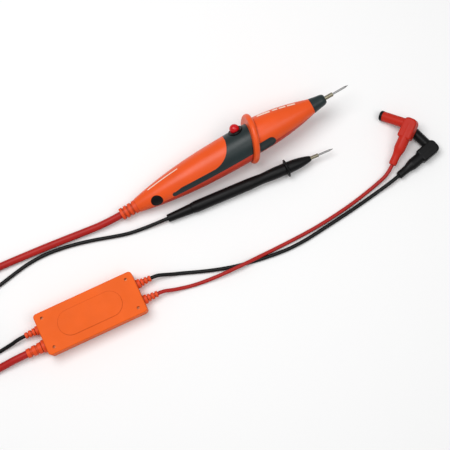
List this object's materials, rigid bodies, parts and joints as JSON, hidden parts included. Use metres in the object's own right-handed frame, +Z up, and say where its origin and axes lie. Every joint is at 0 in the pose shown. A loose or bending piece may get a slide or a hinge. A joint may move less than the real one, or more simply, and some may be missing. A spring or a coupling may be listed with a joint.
{
  "type": "load test lead set",
  "caption": "Electrician's load test leads: a large button probe and a slim probe on cords to an in-line load box, with shrouded right-angle meter plugs.",
  "frame": {"origin": "centre of the load box's underside, on the table that every piece lies on", "axes": "+X along the load box towards the meter plugs, +Y across the box towards the two probes, +Z up from the table"},
  "size_m": [0.6374, 0.1391, 0.0492],
  "materials": {
    "black_plastic": "satin black moulding",
    "board_green": "solder-masked board",
    "brass": "turned brass",
    "button_red": "glossy red cap",
    "copper": "bare copper conductor",
    "cord_black": "black silicone jacket",
    "cord_red": "red silicone jacket",
    "dark_steel": "blackened screw",
    "grip_rubber": "soft grey-green overmould",
    "nickel": "nickel plated brass",
    "orange_case": "fine matt moulded case",
    "orange_shell": "semi-gloss moulded shell",
    "plug_black": "black moulded plug",
    "plug_red": "red moulded plug",
    "ptc_ceramic": "coated thermistor disc",
    "relief_orange": "flexible orange relief",
    "resistor_white": "ceramic wirewound body",
    "steel": "ground steel",
    "tie_black": "rubber strap"
  },
  "bodies": {
    "root": {"probe_upper_shell": "orange_shell", "probe_lower_shell": "orange_shell", "probe_grip_band": "grip_rubber", "probe_finger_guard": "orange_shell", "probe_side_pads": "grip_rubber", "probe_side_plugs": "black_plastic", "probe_nose_cap": "grip_rubber", "probe_strain_relief": "relief_orange", "probe_button_bezel": "black_plastic", "probe_button_spring": "steel", "probe_switch_body": "black_plastic", "probe_switch_board": "board_green", "probe_shell_screws": "steel", "probe_tip_conductor": "copper", "probe_tip_collar": "nickel", "probe_tip_needle": "steel", "slim_boot": "black_plastic", "slim_handle": "black_plastic", "slim_finger_guard": "black_plastic", "slim_nose": "black_plastic", "slim_conductor": "copper", "slim_tip_collar": "nickel", "slim_tip_needle": "steel", "box_cover": "orange_case", "box_base": "orange_case", "box_screws": "dark_steel", "box_board": "board_green", "box_load_resistors": "resistor_white", "box_ptc_disc": "ptc_ceramic", "box_solder_terminals": "brass", "gland_red_probe_side": "relief_orange", "gland_black_probe_side": "relief_orange", "gland_red_meter_side": "relief_orange", "gland_black_meter_side": "relief_orange", "black_plug_body": "plug_black", "black_plug_sheath_liner": "plug_black", "black_plug_pin": "nickel", "red_plug_body": "plug_red", "red_plug_sheath_liner": "plug_black", "red_plug_pin": "nickel", "thick_red_coil": "cord_red", "thin_black_coil": "cord_black", "thick_coil_tie": "tie_black", "thin_coil_tie": "tie_black", "thick_red_cord_front": "cord_red", "thick_red_cord_rear": "cord_red", "thin_black_cord_front": "cord_black", "thin_black_cord_rear": "cord_black", "black_meter_cord": "cord_black", "red_meter_cord": "cord_red"},
    "button": {"probe_button_cap": "button_red", "probe_switch_plunger": "black_plastic"}
  },
  "joints": [
    {"name": "button_press", "type": "slide", "parent": "root", "child": "button", "axis": [0.1188, -0.7922, -0.5986], "range_m": [0, 0.0018], "stiffness_N_per_m": 300, "springref_m": -0.006, "deforming": ["probe_button_spring"]}
  ]
}
